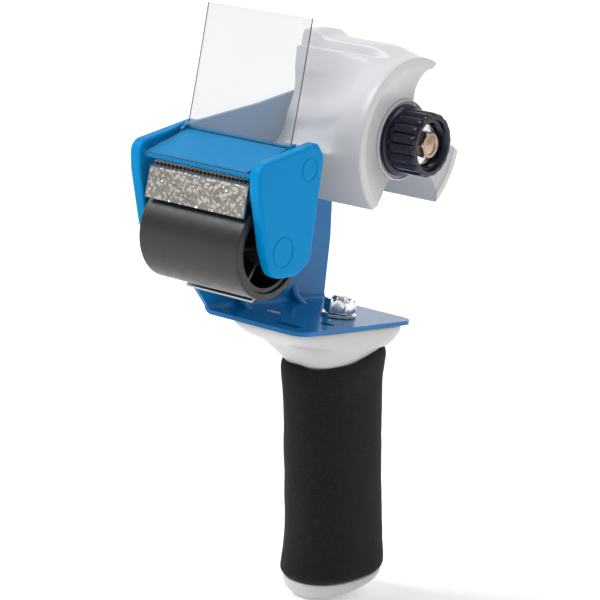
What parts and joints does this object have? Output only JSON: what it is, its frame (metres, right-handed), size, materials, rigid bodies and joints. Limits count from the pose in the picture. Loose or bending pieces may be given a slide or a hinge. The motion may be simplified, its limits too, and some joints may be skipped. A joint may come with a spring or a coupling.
{
  "type": "tape dispenser",
  "caption": "Hand-held pistol-grip dispenser for wide packing tape: bent steel frame, lobed tape hub with brake knob, rubber roller, serrated blade and clear flap.",
  "frame": {"origin": "Centre of the grip, in the middle of the foam sleeve.", "axes": "+Z is square to the base plate and up, -Y points to the roller and blade, +X is the open side that the tape roll is slid on from."},
  "size_m": [0.0858, 0.1578, 0.2732],
  "materials": {
    "frame_paint": "glossy medium-blue paint on bent sheet steel",
    "yoke_plastic": "bright cyan-blue moulded plastic, semi-gloss",
    "white_plastic": "off-white moulded plastic, semi-gloss",
    "grip_foam": "matte charcoal closed-cell foam",
    "roller_rubber": "satin dark grey rubber",
    "black_plastic": "glossy blue-black moulded plastic",
    "zinc_plate": "zinc-coated sheet, crinkled texture on the rest plate",
    "bright_steel": "bright zinc or nickel plated steel",
    "brass": "copper-toned brass",
    "fibre": "brown friction fibre",
    "clear_sheet": "clear flexible plastic sheet",
    "spring_steel": "hardened steel"
  },
  "bodies": {
    "root": {"side_frame": "frame_paint", "handle_core": "white_plastic", "foam_grip": "grip_foam", "handle_end_cap": "white_plastic", "handle_end_screw": "bright_steel", "handle_stud": "bright_steel", "handle_washer": "bright_steel", "handle_nut": "bright_steel", "yoke": "yoke_plastic", "roller_axle": "bright_steel", "yoke_tie_rod": "bright_steel", "blade": "spring_steel", "rest_plate": "zinc_plate", "blade_screw_far": "bright_steel", "blade_screw_near": "bright_steel", "flap_foot": "clear_sheet", "tape_guide": "zinc_plate", "guide_rivet_lower": "bright_steel", "guide_rivet_upper": "bright_steel", "hub_axle": "bright_steel", "axle_collar": "bright_steel", "friction_washer": "fibre", "pressure_washer": "bright_steel", "brake_spring": "spring_steel"},
    "roller": {"roller_sleeve": "roller_rubber", "roller_core": "black_plastic", "roller_bush_far": "white_plastic", "roller_bush_near": "white_plastic"},
    "hub": {"hub_drum": "white_plastic"},
    "thrust": {"thrust_washer": "bright_steel"},
    "knob": {"brake_knob": "black_plastic", "knob_washer": "bright_steel", "knob_insert": "brass"},
    "flap": {"tape_flap": "clear_sheet"}
  },
  "joints": [
    {"name": "roller_spin", "type": "hinge", "parent": "root", "child": "roller", "pos_m": [-0.002, -0.09772, 0.10966], "axis": [1, 0, 0], "continuous": true},
    {"name": "hub_spin", "type": "hinge", "parent": "root", "child": "hub", "pos_m": [-0.004, -0.01052, 0.15536], "axis": [1, 0, 0], "continuous": true},
    {"name": "knob_travel", "type": "slide", "parent": "root", "child": "thrust", "axis": [1, 0, 0], "range_m": [-0.0006, 0.0018]},
    {"name": "knob_turn", "type": "hinge", "parent": "thrust", "child": "knob", "pos_m": [-0.004, -0.01052, 0.15536], "axis": [1, 0, 0], "range_deg": [-180, 540]},
    {"name": "flap_flex", "type": "hinge", "parent": "root", "child": "flap", "pos_m": [-0.004, -0.0924, 0.15322], "axis": [1, 0, 0], "range_deg": [-30, 25], "stiffness_Nm_per_rad": 0.02}
  ],
  "couplings": [
    {"joint": "knob_turn", "follows": "knob_travel", "rad_per_m": 5026.5}
  ]
}
